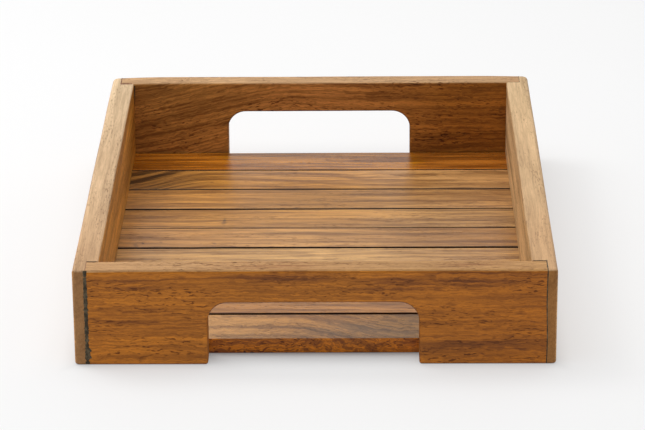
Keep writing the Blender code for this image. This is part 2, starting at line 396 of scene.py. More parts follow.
def steel_material(name, colour, dull_colour, roughness):
    """Plated steel with dull patches and fine scratches round the head."""
    material, g, shader = new_material(name)
    place = g.add("ShaderNodeTexCoord").outputs["Object"]
    patches = g.noise(place, (400.0, 400.0, 400.0), 4.0, 0.6)
    scratches = g.noise(place, (300.0, 4000.0, 4000.0), 3.0, 0.7)
    bump = g.add("ShaderNodeBump", {"Strength": 0.3, "Distance": 0.00005, "Height": scratches})
    g.put(shader.inputs["Base Color"],
          g.mix(g.ramp(patches, 0.35, 0.70), (*colour, 1.0), (*dull_colour, 1.0)))
    g.put(shader.inputs["Roughness"], g.ramp(patches, 0.3, 0.7, roughness, roughness + 0.22))
    g.put(shader.inputs["Normal"], bump.outputs[0])
    shader.inputs["Metallic"].default_value = 1.0
    return material


# ------------------------------------------------------------------ mesh tools

noise.seed_set(4)            # without a seed, the noise starts from the clock


def hand_finish(point):
    """How far planing and sanding by hand have moved a point of the tray from true."""
    waves, reach = PLANING
    move = noise.noise_vector(point * waves) * reach
    waves, reach = SANDING
    move += noise.noise_vector(point * waves + SANDING_START) * reach
    move.z *= min(max((point.z - FLOOR_TOP - FIT) / STIFF_HEIGHT, 0.0), 1.0)
    for (side, end), depth in CORNER_DIP.items():
        corner = Vector((SIDES[side] * OUTER_X, ENDS[end] * OUTER_Y))
        near = math.exp(-((point.xy - corner).length / CORNER_REACH) ** 2)
        move.z -= depth * near * (point.z / HEIGHT) ** DIP_POWER
    return move


def slice_mesh(shape):
    """Cut a closed mesh along even planes, so that it has points to move all over."""
    bmesh.ops.triangulate(shape, faces=shape.faces[:])
    for axis in range(3):
        places = [vertex.co[axis] for vertex in shape.verts]
        low, high = min(places), max(places)
        count = round((high - low) / CELL)
        normal = Vector([float(i == axis) for i in range(3)])
        for step in range(1, count):
            at = normal * (low + (high - low) * step / count)
            parts = shape.verts[:] + shape.edges[:] + shape.faces[:]
            bmesh.ops.bisect_plane(shape, geom=parts, dist=TINY, plane_co=at, plane_no=normal)


def link_object(name, mesh):
    obj = bpy.data.objects.new(name, mesh)
    bpy.context.scene.collection.objects.link(obj)
    return obj


def shape_object(name, shape):
    mesh = bpy.data.meshes.new(name)
    shape.to_mesh(mesh)
    shape.free()
    return link_object(name, mesh)


def bake_modifiers(obj):
    """Replace an object's mesh by its evaluated one, and drop its modifiers."""
    bpy.context.view_layer.update()
    evaluated = obj.evaluated_get(bpy.context.evaluated_depsgraph_get())
    mesh = bpy.data.meshes.new_from_object(evaluated)
    obj.modifiers.clear()
    obj.data = mesh
    return obj


def place_piece(obj, materials, nodes=()):
    """Shade a finished piece smooth with crisp edges, and give it its place in the frame."""
    obj.data.shade_smooth()
    obj.data.set_sharp_from_angle(angle=SHARP)
    even = obj.modifiers.new("even_shading", "WEIGHTED_NORMAL")
    even.keep_sharp = True
    bake_modifiers(obj)
    obj.data.materials.clear()
    for material in materials:
        obj.data.materials.append(material)
    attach(obj, "root")
    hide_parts(*nodes)
    return obj


def extrude_outline(name, points, along, radius_of):
    """A solid from a closed outline. radius_of gives an edge's rounding from its two ends."""
    shape = bmesh.new()
    weight = shape.edges.layers.float.new("bevel_weight_edge")
    first = shape.faces.new([shape.verts.new(point) for point in points])
    grown = bmesh.ops.extrude_face_region(shape, geom=[first])
    moved = [part for part in grown["geom"] if isinstance(part, bmesh.types.BMVert)]
    bmesh.ops.translate(shape, verts=moved, vec=along)
    bmesh.ops.recalc_face_normals(shape, faces=shape.faces[:])
    for edge in shape.edges:
        edge[weight] = radius_of(*(vertex.co for vertex in edge.verts)) / OUTER_ROUND
    obj = shape_object(name, shape)
    rounding = obj.modifiers.new("rounded_edges", "BEVEL")
    rounding.limit_method = "WEIGHT"
    rounding.width = OUTER_ROUND
    rounding.segments = 6
    rounding.use_clamp_overlap = False
    obj.modifiers.new("flat_faces", "TRIANGULATE")
    return obj


def arc(centre, radius, start, stop, steps):
    """Points on an arc, with its angles in degrees."""
    angles = [math.radians(start + (stop - start) * i / steps) for i in range(steps + 1)]
    return [(centre[0] + radius * math.cos(a), centre[1] + radius * math.sin(a)) for a in angles]


def box_cutter(low, high):
    shape = bmesh.new()
    bmesh.ops.create_cube(shape, size=1.0)
    low, high = Vector(low), Vector(high)
    place = Matrix.Translation((low + high) / 2) @ Matrix.Diagonal((*(high - low), 1.0))
    bmesh.ops.transform(shape, matrix=place, verts=shape.verts)
    return shape_object("box_cutter", shape)


def round_cutter(start, end, radius):
    """A cylinder from one point to another."""
    start, end = Vector(start), Vector(end)
    axis = end - start
    shape = bmesh.new()
    bmesh.ops.create_cone(shape, cap_ends=True, segments=20, radius1=radius, radius2=radius,
                          depth=axis.length)
    turn = axis.to_track_quat("Z", "Y").to_matrix().to_4x4()
    bmesh.ops.transform(shape, matrix=Matrix.Translation((start + end) / 2) @ turn, verts=shape.verts)
    return shape_object("round_cutter", shape)


def cut_with(obj, cutters):
    """Subtract the cutters and remove them."""
    group = bpy.data.collections.new("cutters")
    for cutter in cutters:
        group.objects.link(cutter)
    boolean = obj.modifiers.new("cut", "BOOLEAN")
    boolean.operation = "DIFFERENCE"
    boolean.solver = "EXACT"
    boolean.operand_type = "COLLECTION"
    boolean.collection = group
    bake_modifiers(obj)
    for cutter in cutters:
        bpy.data.objects.remove(cutter)
    bpy.data.collections.remove(group)


# ------------------------------------------------------------------ panels and side boards

NAIL_ROOM = 0.0001           # clearance round a nail's shank
HEAD_ROOM = 0.0002           # and round its head
HEAD_LENGTH = 0.0013         # how far a nail's head reaches in
NAIL_BEYOND = 0.001          # how far a nail's cutter stands out of a board
SCREW_HOLE = 0.0016          # radius of a screw's hole in a side board
SEAT_BEYOND = 0.01           # how far the seat's cutter stands out of a side board


def nail_cutters(part):
    """Cutters for the holes of the nails in a part's corners. part is a side or an end."""
    cutters = []
    for name in (name for name in NAILS if part in name):
        low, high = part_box(name)
        middle = (low + high) / 2
        head, point = (low.x, high.x) if middle.x < 0 else (high.x, low.x)
        side = math.copysign(1.0, middle.x)
        head_radius = (high.z - low.z) / 2
        out = (side * (OUTER_X + NAIL_BEYOND), middle.y, middle.z)
        neck = (head - side * HEAD_LENGTH, middle.y, middle.z)
        tip = (point - side * NAIL_ROOM, middle.y, middle.z)
        cutters.append(round_cutter(out, neck, head_radius + HEAD_ROOM))
        cutters.append(round_cutter(out, tip, head_radius * 2 / 3 + NAIL_ROOM))
    return cutters


def finish_board(obj, node, cutters, material):
    """Cut a board's joints and holes, then bend it a little all over, as hand work leaves it."""
    cut_with(obj, cutters)
    shape = bmesh.new()
    shape.from_mesh(obj.data)
    slice_mesh(shape)
    for vertex in shape.verts:
        vertex.co += hand_finish(vertex.co)
    shape.to_mesh(obj.data)
    shape.free()
    return place_piece(obj, [material], [node])


def panel_outline(low, high):
    """Outline of an end panel in X and Z, with the hand hole open at the bottom."""
    points = [(low.x, 0.0)]
    points += arc((HOLE_LEFT - FOOT_CORNER, FOOT_CORNER), FOOT_CORNER, -90, 0, 4)
    points += arc((HOLE_LEFT + HOLE_CORNER, HOLE_TOP - HOLE_CORNER), HOLE_CORNER, 180, 90, 14)
    points += arc((HOLE_RIGHT - HOLE_CORNER, HOLE_TOP - HOLE_CORNER), HOLE_CORNER, 90, 0, 14)
    points += arc((HOLE_RIGHT + FOOT_CORNER, FOOT_CORNER), FOOT_CORNER, 180, 270, 4)
    return points + [(high.x, 0.0), (high.x, HEIGHT), (low.x, HEIGHT)]


def build_panel(end, material):
    low, high = PANEL[end]
    outside = ENDS[end] * OUTER_Y

    def radius_of(a, b):
        """Nothing across the panel or at its joints, and most along the outer top edge."""
        across = abs(a.y - b.y) > TINY
        jointed = abs(a.x - b.x) < TINY and min(abs(a.x - low.x), abs(a.x - high.x)) < TINY
        if across or jointed:
            return 0.0
        top = min(a.z, b.z) > HEIGHT - TINY and abs(a.y - outside) < TINY
        return OUTER_ROUND if top else EDGE_ROUND

    outline = [(x, low.y, z) for x, z in panel_outline(low, high)]
    obj = extrude_outline(end + "_panel_wood", outline, (0.0, high.y - low.y, 0.0), radius_of)
    return finish_board(obj, end + "_panel", nail_cutters(end), material)


def board_outline(side):
    """Outline of a side board in X and Y, lapping round the end panels."""
    s = SIDES[side]
    shoulder = INNER_Y - FIT
    lap = {end: s * (abs(PANEL[end][0 if s < 0 else 1].x) + FIT) for end in ENDS}
    quarter = {-1: (-90, 0), 1: (0, 90)}
    points = [(lap["front"], -OUTER_Y)]
    for end, radius in ((-1, FRONT_CORNER), (1, BACK_CORNER)):
        rounded = arc((OUTER_X - radius, end * (OUTER_Y - radius)), radius, *quarter[end], 6)
        points += [(s * x, y) for x, y in rounded]
    points += [(lap["back"], OUTER_Y), (lap["back"], shoulder)]
    points += [(s * INNER_X, shoulder), (s * INNER_X, -shoulder), (lap["front"], -shoulder)]
    return points


def build_side_board(side, material):
    s = SIDES[side]

    def radius_of(a, b):
        """Nothing on upright edges or in the joints, and most along the outer top edge."""
        middle = (a + b) / 2
        inside = abs(abs(middle.x) - INNER_X) < TINY
        outside = abs(middle.x) > OUTER_X - BACK_CORNER or abs(abs(middle.y) - OUTER_Y) < TINY
        if abs(a.z - b.z) > TINY or not (inside or outside):
            return 0.0
        return OUTER_ROUND if outside and middle.z > HEIGHT / 2 else EDGE_ROUND

    outline = [(x, y, 0.0) for x, y in board_outline(side)]
    obj = extrude_outline(side + "_side_board_wood", outline, (0.0, 0.0, HEIGHT), radius_of)
    near, seat = sorted((s * (INNER_X - SEAT_BEYOND), s * (INNER_X + SEAT_DEPTH)))
    shoulder = INNER_Y - FIT
    cutters = [box_cutter((near, -shoulder, -SEAT_BEYOND), (seat, shoulder, FLOOR_TOP + FIT))]
    cutters += nail_cutters(side)
    for name in (name for name in SCREWS if side in name):
        low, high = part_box(name)
        x, y = (low.x + high.x) / 2, (low.y + high.y) / 2
        cutters.append(round_cutter((x, y, 0.0), (x, y, high.z + FIT), SCREW_HOLE))
    return finish_board(obj, side + "_side_board", cutters, material)


# ------------------------------------------------------------------ Geometry Nodes pieces

def geometry_tree(name, inputs):
    """A Geometry Nodes tree with a geometry input and output and the named inputs."""
    tree = bpy.data.node_groups.new(name, "GeometryNodeTree")
    tree.interface.new_socket(name="Geometry", in_out="INPUT", socket_type="NodeSocketGeometry")
    add_inputs(tree, inputs)
    tree.interface.new_socket(name="Geometry", in_out="OUTPUT", socket_type="NodeSocketGeometry")
    g = Graph(tree)
    return tree, g, g.add("NodeGroupInput").outputs


def end_tree(g, geometry, material):
    real = g.add("GeometryNodeRealizeInstances", {"Geometry": geometry})
    painted = g.add("GeometryNodeSetMaterial", {"Geometry": real.outputs[0], "Material": material})
    g.put(g.add("NodeGroupOutput").inputs[0], painted.outputs[0])


def grow(name, tree, values, mesh):
    """Run a Geometry Nodes tree on a mesh, and keep the result as a plain mesh."""
    obj = link_object(name, mesh)
    modifier = obj.modifiers.new(tree.name, "NODES")
    modifier.node_group = tree
    sockets = {item.name: item.identifier for item in tree.interface.items_tree
               if item.in_out == "INPUT"}
    for label, value in values.items():
        modifier[sockets[label]] = value
    return bake_modifiers(obj)


def point_mesh(name, points, edges=()):
    mesh = bpy.data.meshes.new(name)
    mesh.from_pydata(points, edges, [])
    return mesh


def join(g, *geometries):
    node = g.add("GeometryNodeJoinGeometry")
    for geometry in reversed(geometries):
        g.tree.links.new(geometry, node.inputs[0])
    return node.outputs[0]


def moved(g, geometry, x=0.0, z=0.0, rotation=None):
    inputs = {"Geometry": geometry, "Translation": g.combine(x, 0.0, z), "Rotation": rotation}
    return g.add("GeometryNodeTransform", inputs).outputs[0]


def cone(g, low, high, radius_low, radius_high, sides=24):
    """A closed cone or cylinder along Z, from height low to height high."""
    depth = g.minus(high, low)
    inputs = {"Vertices": sides, "Radius Top": radius_high, "Radius Bottom": radius_low,
              "Depth": depth}
    return moved(g, g.add("GeometryNodeMeshCone", inputs).outputs["Mesh"], z=low)


def without(g, body, *cutters):
    node = g.add("GeometryNodeMeshBoolean", {"Mesh 1": body}, operation="DIFFERENCE", solver="EXACT")
    for cutter in cutters:
        g.tree.links.new(cutter, node.inputs["Mesh 2"])
    return node.outputs[0]


SLAT_EDGE = 0.0005           # rounding of a slat's long edges
SLAT_UNEVEN = 0.00035
HEAD_HOLE = 0.0033           # radii of the holes for a slat's screws
SHANK_HOLE = 0.0017
MOUTH_DEPTH = 0.0006         # straight start of a countersink
SINK_START = 0.0004
SINK_DEPTH = 0.0025


def slat_tree():
    """A floor slat: a bar along X with rounded edges, a little uneven, drilled for two screws."""
    tree, g, given = geometry_tree("floor_slat", (
        ("Length", "Float", 0.29),
        ("Width", "Float", 0.037),
        ("Thickness", "Float", 0.0095),
        ("Edge Radius", "Float", SLAT_EDGE),
        ("Centre", "Vector", None),
        ("Skew", "Float", 0.0),
        ("Screw Place", "Float", 0.141),
        ("Unevenness", "Float", SLAT_UNEVEN),
        ("Seed", "Float", 0.0),
        ("Wood", "Material", None),
    ))
    section = g.add("GeometryNodeCurvePrimitiveQuadrilateral",
                    {"Width": given["Width"], "Height": given["Thickness"]}).outputs[0]
    rounded = g.add("GeometryNodeFilletCurve", {"Curve": section, "Radius": given["Edge Radius"],
                                                "Count": 5}, mode="POLY").outputs[0]
    half = g.times(given["Length"], 0.5)
    line = g.add("GeometryNodeCurvePrimitiveLine",
                 {"Start": g.combine(g.times(half, -1.0), 0.0, 0.0),
                  "End": g.combine(half, 0.0, 0.0)}).outputs[0]
    path = g.add("GeometryNodeResampleCurve", {"Curve": line, "Count": 73}).outputs[0]
    bar = g.add("GeometryNodeCurveToMesh", {"Curve": path, "Profile Curve": rounded,
                                            "Fill Caps": True}).outputs[0]

    place = g.add("GeometryNodeInputPosition").outputs[0]
    wobble = g.add("ShaderNodeTexNoise", {"Vector": g.vector("MULTIPLY", place, (14.0, 25.0, 60.0)),
                                          "W": given["Seed"], "Scale": 1.0, "Detail": 1.0},
                   noise_dimensions="4D").outputs[1]
    shift = g.vector("MULTIPLY", g.vector("SUBTRACT", wobble, (0.5, 0.5, 0.5)), (0.0, 1.0, 1.0))
    shift = g.vector("SCALE", shift, scale=given["Unevenness"])
    bar = g.add("GeometryNodeSetPosition", {"Geometry": bar, "Offset": shift}).outputs[0]

    under = g.times(given["Thickness"], -0.5)
    mouth = cone(g, g.minus(under, 0.002), g.plus(under, MOUTH_DEPTH), HEAD_HOLE, HEAD_HOLE)
    sink = cone(g, g.plus(under, SINK_START), g.plus(under, SINK_DEPTH), HEAD_HOLE, SHANK_HOLE)
    shank = cone(g, g.minus(under, 0.001), g.plus(under, 0.02), SHANK_HOLE, SHANK_HOLE)
    holes = []
    for sign in (-1.0, 1.0):
        at = g.times(given["Screw Place"], sign)
        holes += [moved(g, shape, x=at) for shape in (mouth, sink, shank)]
    bar = without(g, bar, *holes)
    turn = g.combine(0.0, 0.0, g.math("DIVIDE", given["Skew"], given["Length"]))
    bar = g.add("GeometryNodeTransform", {"Geometry": bar, "Translation": given["Centre"],
                                          "Rotation": turn})
    end_tree(g, bar.outputs[0], given["Wood"])
    return tree


SLAT_RISE = {1: -0.0001, 2: 0.0001, 3: -0.0001, 5: 0.0001, 6: -0.0001, 8: 0.0001}
SLAT_SKEW = {6: 0.0010}      # how much further back the right end lies than the left end
SLAT_PLANED = 0.00055        # taken off the width of a slat
SLAT_SET_BACK = {1: 0.0018}  # taken off its front edge
SLAT_EXTRA = {1: 0.0005}     # added below


def build_slats(materials):
    tree = slat_tree()
    screw_x = abs(sum(corner.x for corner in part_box("slat_1_screw_right")) / 2)
    for n, (low, high) in SLAT.items():
        size = high - low
        skew, cut, extra = (table.get(n, 0.0) for table in (SLAT_SKEW, SLAT_SET_BACK, SLAT_EXTRA))
        shift = Vector((0.0, (skew + cut) / 2, SLAT_RISE.get(n, 0.0) - extra / 2))
        values = {"Length": size.x, "Width": size.y - SLAT_PLANED - cut, "Thickness": size.z + extra,
                  "Skew": skew,
                  "Centre": (low + high) / 2 + shift, "Screw Place": screw_x, "Seed": float(n),
                  "Wood": materials[n]}
        start = point_mesh("slat_start", [(0.0, 0.0, 0.0)])
        obj = grow(f"floor_slat_{n}_wood", tree, values, start)
        place_piece(obj, [materials[n]], [f"floor_slat_{n}"])


SCREW_RIM = 0.0003           # straight rim of a screw's head, from its face
SCREW_TAPER = 0.0022         # where the head has narrowed to the core
WING_LENGTH, WING_WIDTH = 0.0036, 0.0007     # cross recess
THREAD_START, THREAD_LENGTH = 0.0055, 0.0095
THREAD_TURNS = 8.0
THREAD_SIZE = 0.0004
POINT_RADIUS = 0.0001        # tips of the screws and nails


def screw_tree():
    """Countersunk wood screws, one on each point: head at the point, thread above it."""
    tree, g, given = geometry_tree("slat_screws", (
        ("Length", "Float", 0.018),
        ("Head Radius", "Float", 0.003),
        ("Core Radius", "Float", 0.0011),
        ("Recess", "Float", 0.0017),
        ("Seed", "Int", 3),
        ("Steel", "Material", None),
    ))
    rim = cone(g, 0.0, SCREW_RIM, given["Head Radius"], given["Head Radius"], 40)
    taper = cone(g, SCREW_RIM, SCREW_TAPER, given["Head Radius"], given["Core Radius"], 40)
    head = g.add("GeometryNodeMeshBoolean", {"Mesh 2": rim}, operation="UNION", solver="EXACT")
    g.tree.links.new(taper, head.inputs["Mesh 2"])
    wings = []
    for turn in (0.0, math.pi / 2):
        size = g.combine(WING_LENGTH, WING_WIDTH, g.times(given["Recess"], 2.0))
        wing = g.add("GeometryNodeMeshCube", {"Size": size})
        wings.append(moved(g, wing.outputs["Mesh"], rotation=(0.0, 0.0, turn)))
    socket = cone(g, -0.0004, given["Recess"], 0.0011, 0.0005, 12)
    head = without(g, head.outputs[0], *wings, socket)
    shaft_end = g.minus(given["Length"], 0.003)
    shaft = cone(g, 0.0021, shaft_end, given["Core Radius"], given["Core Radius"])
    point = cone(g, shaft_end, given["Length"], given["Core Radius"], POINT_RADIUS)
    coil = g.add("GeometryNodeCurveSpiral", {
        "Resolution": 18, "Rotations": THREAD_TURNS, "Start Radius": given["Core Radius"],
        "End Radius": given["Core Radius"], "Height": THREAD_LENGTH})
    ridge = g.add("GeometryNodeCurvePrimitiveCircle", {"Resolution": 3, "Radius": THREAD_SIZE})
    thread = g.add("GeometryNodeCurveToMesh", {
        "Curve": coil.outputs[0], "Profile Curve": ridge.outputs[0], "Fill Caps": True}).outputs[0]
    screw = join(g, head, shaft, point, moved(g, thread, z=THREAD_START))
    spin = g.add("FunctionNodeRandomValue", {"Max": (0.0, 0.0, 2 * math.pi), "Seed": given["Seed"]},
                 data_type="FLOAT_VECTOR")
    placed = g.add("GeometryNodeInstanceOnPoints", {"Points": given["Geometry"], "Instance": screw,
                                                    "Rotation": spin.outputs[0]})
    end_tree(g, placed.outputs[0], given["Steel"])
    return tree


NAIL_FACE, NAIL_BARREL, NAIL_NECK = 0.0002, 0.0009, 0.0012   # where each part of the head ends


def nail_tree():
    """Finishing nails, one on each point, each pointing towards the middle of the tray."""
    tree, g, given = geometry_tree("corner_nails", (
        ("Length", "Float", 0.03),
        ("Shank Radius", "Float", 0.0008),
        ("Head Radius", "Float", 0.0012),
        ("Steel", "Material", None),
    ))
    rounded = cone(g, 0.0, NAIL_FACE, g.times(given["Head Radius"], 0.8), given["Head Radius"])
    barrel = cone(g, NAIL_FACE, NAIL_BARREL, given["Head Radius"], given["Head Radius"])
    neck = cone(g, NAIL_BARREL, NAIL_NECK, given["Head Radius"], given["Shank Radius"])
    shank_end = g.minus(given["Length"], 0.0025)
    shank = cone(g, NAIL_NECK, shank_end, given["Shank Radius"], given["Shank Radius"])
    point = cone(g, shank_end, given["Length"], given["Shank Radius"], POINT_RADIUS)
    dimple = g.add("GeometryNodeMeshUVSphere", {"Segments": 16, "Rings": 8, "Radius": 0.0005})
    face = without(g, rounded, moved(g, dimple.outputs["Mesh"], z=-0.0002))
    nail = join(g, face, barrel, neck, shank, point)
    x, y, z = g.separate(g.add("GeometryNodeInputPosition").outputs[0])
    inwards = g.combine(g.times(g.math("SIGN", x), -1.0), 0.0, 0.0)
    turn = g.add("FunctionNodeAlignRotationToVector", {"Vector": inwards}, axis="Z").outputs[0]
    placed = g.add("GeometryNodeInstanceOnPoints", {"Points": given["Geometry"], "Instance": nail,
                                                    "Rotation": turn})
    end_tree(g, placed.outputs[0], given["Steel"])
    return tree


def build_fasteners(screw_steel, nail_steel):
    heads = []
    for name in SCREWS:
        low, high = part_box(name)
        heads.append(((low.x + high.x) / 2, (low.y + high.y) / 2, low.z))
    low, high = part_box(SCREWS[0])
    values = {"Length": high.z - low.z, "Head Radius": (high.x - low.x) / 2, "Steel": screw_steel}
    screws = grow("slat_screws", screw_tree(), values, point_mesh("screw_heads", heads))
    place_piece(screws, [screw_steel], SCREWS)

    heads = []
    for name in NAILS:
        low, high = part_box(name)
        outer = low.x if low.x + high.x < 0 else high.x
        heads.append((outer, (low.y + high.y) / 2, (low.z + high.z) / 2))
    low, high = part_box(NAILS[0])
    values = {"Length": high.x - low.x, "Head Radius": (high.z - low.z) / 2, "Steel": nail_steel}
    nails = grow("corner_nails", nail_tree(), values, point_mesh("nail_heads", heads))
    place_piece(nails, [nail_steel], NAILS)


# ------------------------------------------------------------------ glue in the corner joints

def bead_tree():
    """Glue squeezed out along paths: ragged round beads, half sunk in the joint."""
    tree, g, given = geometry_tree("glue_beads", (
        ("Spacing", "Float", 0.0003),
        ("Raggedness", "Float", 0.45),
        ("Lump Size", "Float", 0.0016),
        ("Seed", "Float", 0.0),
        ("Glue", "Material", None),
    ))
    curve = g.add("GeometryNodeMeshToCurve", {"Mesh": given["Geometry"]}).outputs[0]
    path = g.add("GeometryNodeResampleCurve", {"Curve": curve, "Length": given["Spacing"]},
                 mode="LENGTH").outputs[0]
    place = g.add("GeometryNodeInputPosition").outputs[0]
    frequency = g.math("DIVIDE", 1.0, given["Lump Size"])
    lumps = g.add("ShaderNodeTexNoise", {"Vector": place, "W": given["Seed"], "Scale": frequency,
                                         "Detail": 2.0}, noise_dimensions="4D")
    swell = g.times(g.minus(lumps.outputs[0], 0.5), 2.0)
    swell = g.plus(1.0, g.times(swell, given["Raggedness"]))
    width = g.add("GeometryNodeInputNamedAttribute", {"Name": "bead_radius"},
                  data_type="FLOAT").outputs[0]
    ring = g.add("GeometryNodeCurvePrimitiveCircle", {"Resolution": 10, "Radius": 1.0}).outputs[0]
    tube = g.add("GeometryNodeCurveToMesh", {"Curve": path, "Profile Curve": ring, "Fill Caps": True,
                                             "Scale": g.times(width, swell)})
    end_tree(g, tube.outputs[0], given["Glue"])
    return tree


def joint_path(side, end, stretch, sunk, sway=0.0):
    """Points along a stretch of a corner joint, sunk into the wood: face is up the outer face and
    over its edge, over is from that edge inwards, top only the flat of it, shoulder is along the
    panel's inner face, and corner is down the inner corner."""
    s, e = SIDES[side], ENDS[end]
    x = PANEL[end][0 if s < 0 else 1].x
    points = []
    if stretch == "face":
        low, high = 0.0008, HEIGHT - OUTER_ROUND
        for i in range(33):
            z = low + (high - low) * i / 32
            points.append(Vector((x + sway * math.sin(z / 0.010), e * (OUTER_Y - sunk), z)))
    if stretch in ("face", "over"):
        centre = (OUTER_Y - OUTER_ROUND, HEIGHT - OUTER_ROUND)
        points += [Vector((x, e * y, z)) for y, z in arc(centre, OUTER_ROUND - sunk, 0, 90, 6)]
    if stretch in ("over", "top"):
        start, stop = OUTER_Y - OUTER_ROUND, INNER_Y
        points += [Vector((x, e * (start + (stop - start) * i / 8), HEIGHT - sunk)) for i in range(9)]
    if stretch == "corner":
        heights = [HEIGHT - EDGE_ROUND - 0.0012 * i for i in range(13)]
        points = [Vector((s * INNER_X, e * INNER_Y, z)) for z in heights]
    if stretch == "shoulder":
        stop = s * (INNER_X + EDGE_ROUND)
        places = [x + (stop - x) * i / 8 for i in range(9)]
        points += [Vector((place, e * INNER_Y, HEIGHT - sunk)) for place in places]
    return [point + hand_finish(point) for point in points]


def lay_beads(name, tree, strokes, material, seed, ragged=0.45):
    """One piece of glue. A stroke is its points and the bead's radius, or a function for it."""
    points, edges, radii = [], [], []
    for path, radius in strokes:
        first = len(points)
        points += path
        edges += [(first + i, first + i + 1) for i in range(len(path) - 1)]
        radii += [radius(point) if callable(radius) else radius for point in path]
    mesh = point_mesh(name, points, edges)
    widths = mesh.attributes.new("bead_radius", "FLOAT", "POINT")
    widths.data.foreach_set("value", radii)
    values = {"Raggedness": ragged, "Seed": seed, "Glue": material}
    obj = grow(name, tree, values, mesh)
    return place_piece(obj, [material])


def build_glue(dark_glue, brown_filler):
    tree = bead_tree()
    aside = Vector((0.0014, 0.0, 0.0))
    drip = [point + aside for point in joint_path("left", "front", "face", 0.0021)[2:7]]

    def with_blob(point):
        """A wide bead that swells near its foot."""
        return 0.00255 + 0.00030 * math.exp(-((point.z - 0.010) / 0.0045) ** 2)

    def thinning_downwards(point):
        return 0.0004 + 0.03 * (point.z - 0.046)

    lay_beads("front_left_joint_glue", tree, [
        (joint_path("left", "front", "face", 0.00215), with_blob),
        (drip, 0.00235),
        (joint_path("left", "front", "shoulder", 0.00016), 0.00024),
    ], dark_glue, 1.0, 0.30)
    lay_beads("front_left_top_filler", tree, [
        (joint_path("left", "front", "top", 0.00020), 0.00028),
    ], brown_filler, 2.0)
    lay_beads("front_right_joint_glue", tree, [
        (joint_path("right", "front", "face", 0.00025, 0.0003), 0.00044),
        (joint_path("right", "front", "top", 0.00022), 0.00044),
        (joint_path("right", "front", "shoulder", 0.00016), 0.00024),
    ], dark_glue, 3.0)
    lay_beads("back_left_joint_filler", tree, [
        (joint_path("left", "back", "over", 0.00025), 0.00048),
        (joint_path("left", "back", "shoulder", 0.00110), 0.00150),
        (joint_path("left", "back", "face", 0.00022), 0.00032),
    ], brown_filler, 4.0)
    lay_beads("back_left_corner_glue", tree, [
        (joint_path("left", "back", "corner", 0.0), thinning_downwards),
    ], dark_glue, 6.0)
    lay_beads("back_right_joint_glue", tree, [
        (joint_path("right", "back", "face", 0.00022), 0.00034),
        (joint_path("right", "back", "top", 0.00022), 0.00028),
        (joint_path("right", "back", "shoulder", 0.00022), 0.00030),
    ], dark_glue, 5.0)


# ------------------------------------------------------------------ materials of this tray

def spread(reach, left, middle, right):
    """Colours for the two ends and the middle of a stretch of board, for wood_material."""
    return [(-reach, left), (0.0, middle), (reach, right)]


PANEL_WOOD = {
    "front": wood_material(
        "front_panel_wood", 0, (0.30, 0.070, 0.010),
        spread(0.15, (0.500, 0.168, 0.0070), (0.435, 0.148, 0.0082), (0.445, 0.141, 0.0045)),
        sanded_and_lit=spread(0.15, (0.43, 0.242, 0.100), (0.39, 0.209, 0.074), (0.42, 0.228, 0.078)),
        heart=[((-0.030, -OUTER_Y, 0.0605), (0.070, 1.0, 0.007), 0.8),
               ((0.055, -OUTER_Y, 0.0540), (0.040, 1.0, 0.010), 0.7),
               ((0.105, -OUTER_Y, 0.0590), (0.060, 1.0, 0.008), 0.9),
               ((0.105, -OUTER_Y, 0.0150), (0.060, 1.0, 0.012), 0.7),
               ((-0.115, -OUTER_Y, 0.0550), (0.040, 1.0, 0.008), 0.4)],
        heart_colour=(0.190, 0.052, 0.004), ring_width=0.0042, rings=0.12, streaks=0.38,
        wave=0.010, curl=0.0026, pores=0.90, gloss=0.38, shine=0.30),
    "back": wood_material(
        "back_panel_wood", 0, (1.10, 0.055, 0.030),
        spread(0.1, (0.555, 0.272, 0.069), (0.65, 0.305, 0.088), (0.41, 0.167, 0.026)),
        sanded_and_lit=[(0.0, (0.455, 0.272, 0.128))], outside=(0.46, 0.170, 0.020),
        sweep=(-0.150, -0.020, (0.0, 0.024)), ring_width=0.0050, rings=0.28, streaks=0.52,
        wave=0.014, curl=0.0023, pores=0.95, gloss=0.38, shine=0.30),
}
BOARD_WOOD = {
    "left": wood_material(
        "left_side_board_wood", 1, (0.55, 0.040, 0.230), [(0.0, (0.705, 0.338, 0.046))],
        sanded_and_lit=spread(0.19, (0.430, 0.262, 0.132), (0.545, 0.375, 0.216), (0.615, 0.458, 0.282)),
        outside=(0.50, 0.225, 0.045), ends=(0.50, 0.258, 0.092), ring_width=0.0034, rings=0.15,
        streaks=0.26, bands=0.50, wave=0.008, pores=0.50, gloss=0.40, shine=0.35),
    "right": wood_material(
        "right_side_board_wood", 1, (1.70, 0.060, -0.180),
        spread(0.19, (0.66, 0.410, 0.168), (0.68, 0.440, 0.202), (0.695, 0.492, 0.262)),
        sanded_and_lit=spread(0.19, (0.470, 0.284, 0.138), (0.512, 0.340, 0.178), (0.545, 0.382, 0.206)),
        outside=(0.50, 0.255, 0.070), ends=(0.46, 0.210, 0.052), ring_width=0.0034, rings=0.15,
        streaks=0.26, bands=0.50, wave=0.008, pores=0.50, gloss=0.40, shine=0.35),
}
